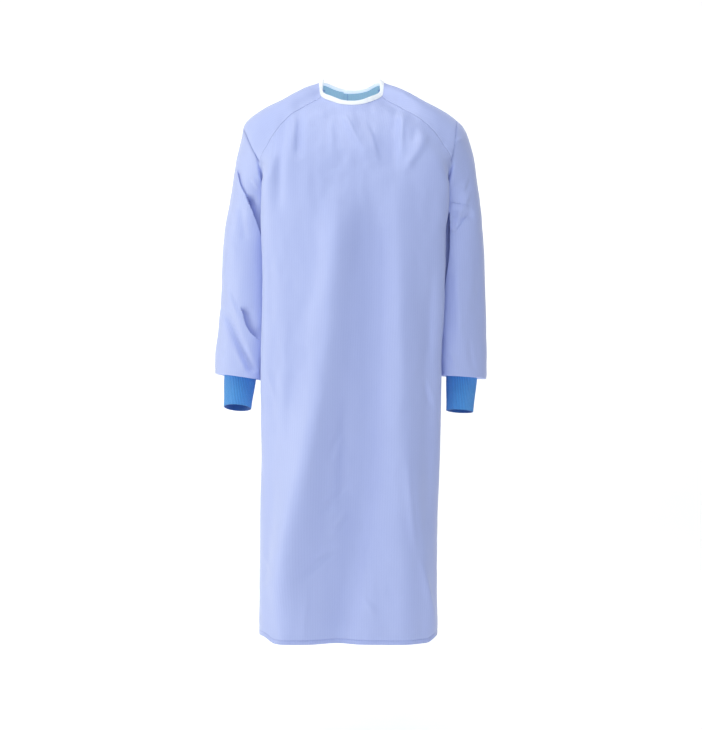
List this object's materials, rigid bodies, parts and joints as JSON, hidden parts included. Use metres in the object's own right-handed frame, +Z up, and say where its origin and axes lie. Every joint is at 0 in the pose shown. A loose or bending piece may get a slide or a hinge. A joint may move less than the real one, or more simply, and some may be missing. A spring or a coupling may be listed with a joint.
{
  "type": "cover gown",
  "caption": "Long cover gown with raglan sleeves, rib-knit cuffs and a bound round neck, open and lapped at the back, filled out as if worn.",
  "frame": {"origin": "between the two sides of the neck, at the level where the wearer's neck and shoulders carry the gown", "axes": "+Z up, the front of the gown faces -Y, +X towards the wearer's left arm"},
  "size_m": [0.5781, 0.2842, 1.1768],
  "materials": {
    "cloth": "fine woven, faint vertical stripe",
    "knit": "rib knit",
    "tape": "folded bias tape",
    "stud": "satin"
  },
  "bodies": {
    "root": {"front_panel": "cloth", "back_left": "cloth", "back_right": "cloth", "sleeve_left": "cloth", "sleeve_right": "cloth", "cuff_left": "knit", "cuff_right": "knit", "neck_binding": "tape", "snap_neck_cap": "stud", "snap_neck_stud": "stud", "snap_neck_rivet": "stud", "snap_waist_cap": "stud", "snap_waist_stud": "stud", "snap_waist_rivet": "stud"}
  },
  "joints": []
}
